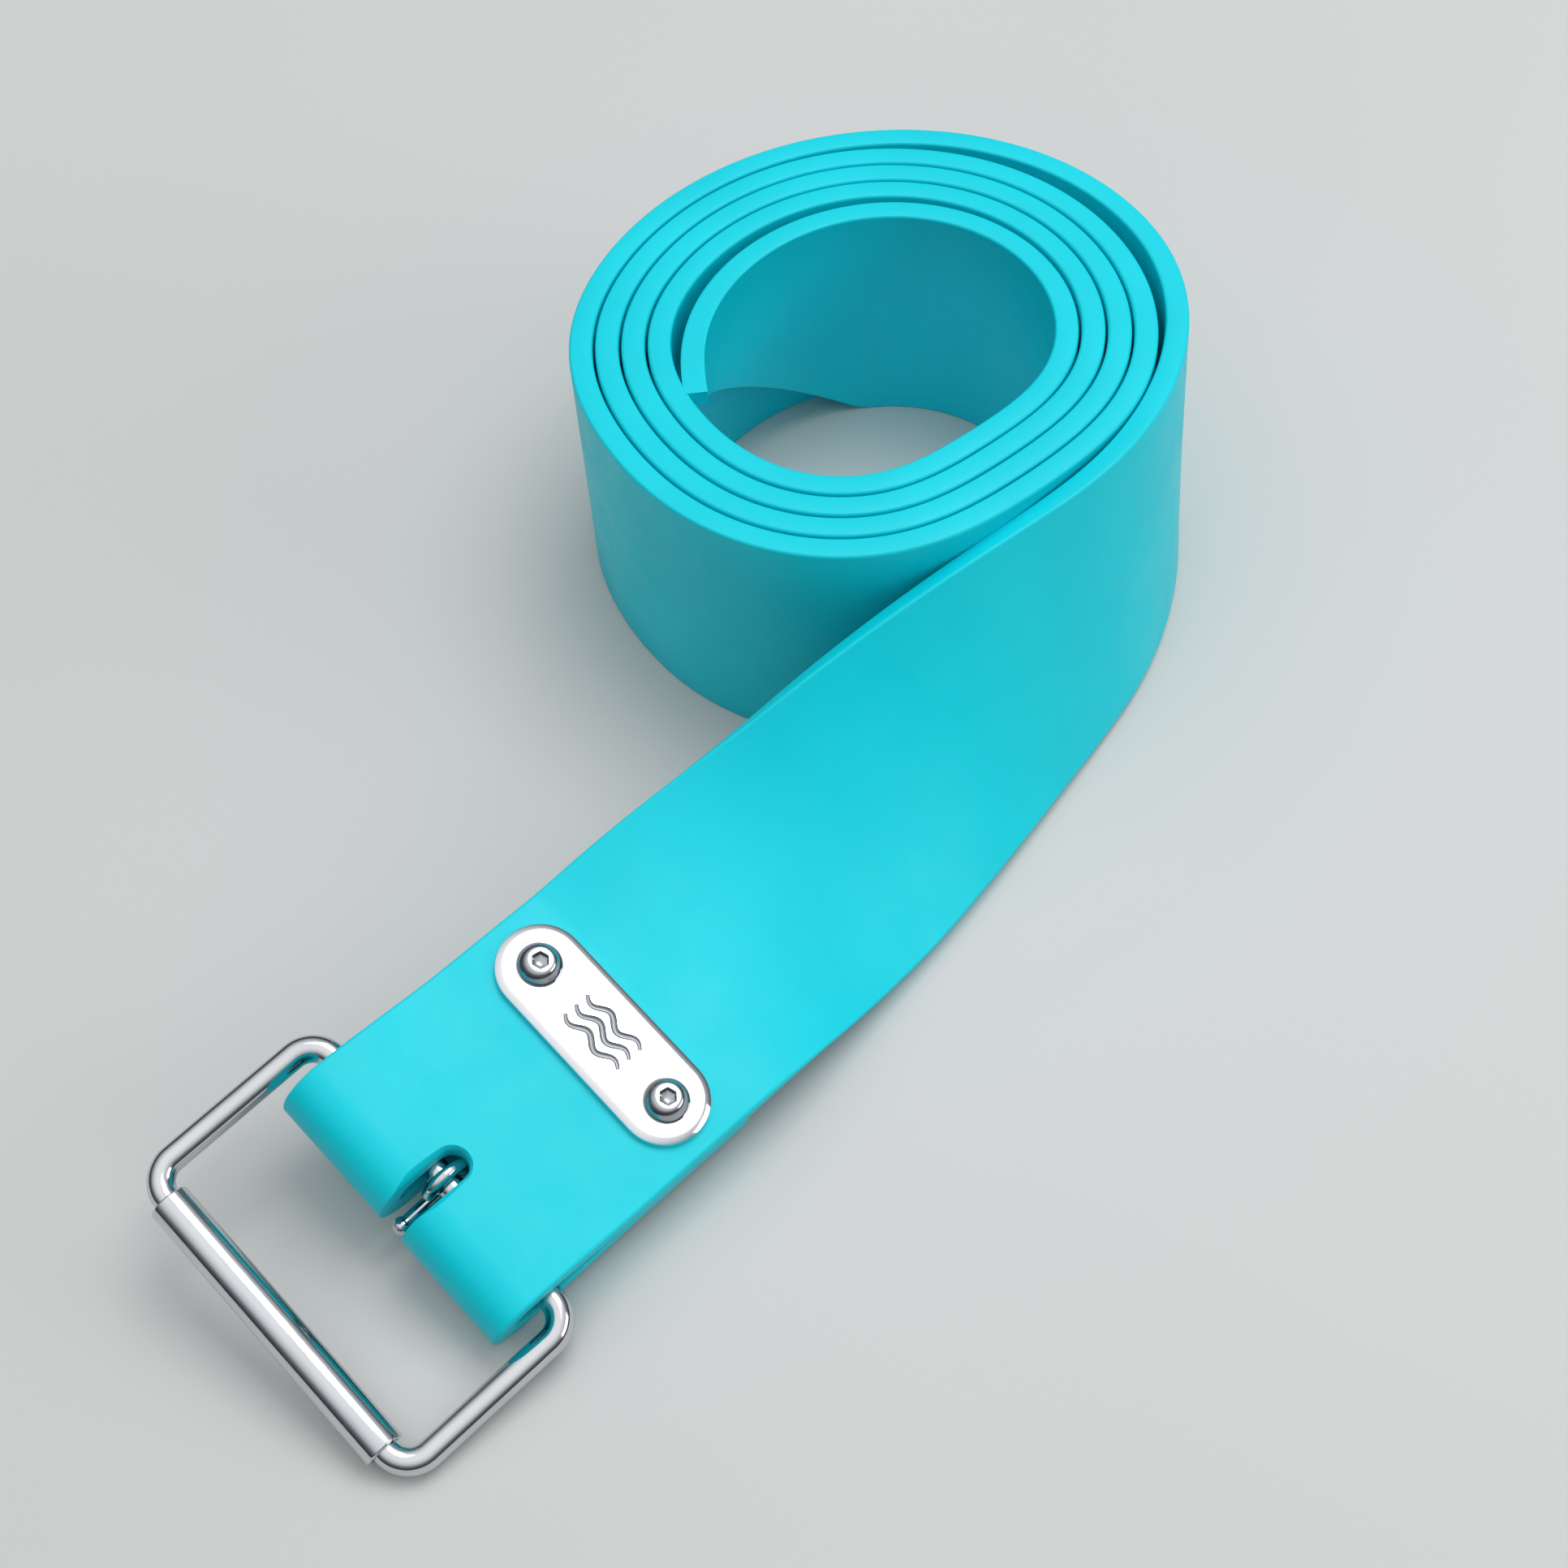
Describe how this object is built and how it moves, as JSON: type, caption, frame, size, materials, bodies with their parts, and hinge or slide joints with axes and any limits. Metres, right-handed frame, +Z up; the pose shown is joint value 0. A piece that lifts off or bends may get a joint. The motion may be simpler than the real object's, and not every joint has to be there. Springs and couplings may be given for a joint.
{
  "type": "dive weight belt",
  "caption": "Rubber dive weight belt: coiled flat strap with a wire roller buckle hinged in its end loop, held by a bolted plate.",
  "frame": {"origin": "centre of the footprint of the belt as it lies coiled on a surface, on that surface", "axes": "+X from the buckle towards the coil along the strap's flat run, +Z up, +Y to the left of that run"},
  "size_m": [0.2458, 0.1378, 0.05],
  "materials": {
    "rubber_strap": "smooth satin turquoise silicone rubber",
    "plate_steel": "mirror-polished stainless steel",
    "screw_steel": "polished stainless steel",
    "buckle_steel": "polished stainless steel wire and sleeve"
  },
  "bodies": {
    "belt": {"strap": "rubber_strap", "front_plate": "plate_steel", "back_plate": "plate_steel", "screw_left": "screw_steel", "screw_right": "screw_steel", "barrel_nut_left": "screw_steel", "barrel_nut_right": "screw_steel"},
    "buckle_frame": {"buckle_frame": "buckle_steel"},
    "roller": {"roller_sleeve": "buckle_steel"},
    "tongue": {"tongue": "buckle_steel"}
  },
  "joints": [
    {"name": "frame_hinge", "type": "hinge", "parent": "belt", "child": "buckle_frame", "pos_m": [-0.08659, -0.03761, 0.01372], "axis": [0, 0.9641, 0.2656], "range_deg": [-150, 155]},
    {"name": "roller_spin", "type": "hinge", "parent": "buckle_frame", "child": "roller", "pos_m": [-0.11951, -0.03669, 0.01039], "axis": [0, 0.9641, 0.2656], "continuous": true},
    {"name": "tongue_hinge", "type": "hinge", "parent": "belt", "child": "tongue", "pos_m": [-0.08659, -0.03761, 0.01372], "axis": [0, 0.9641, 0.2656], "range_deg": [-62, 140]}
  ]
}
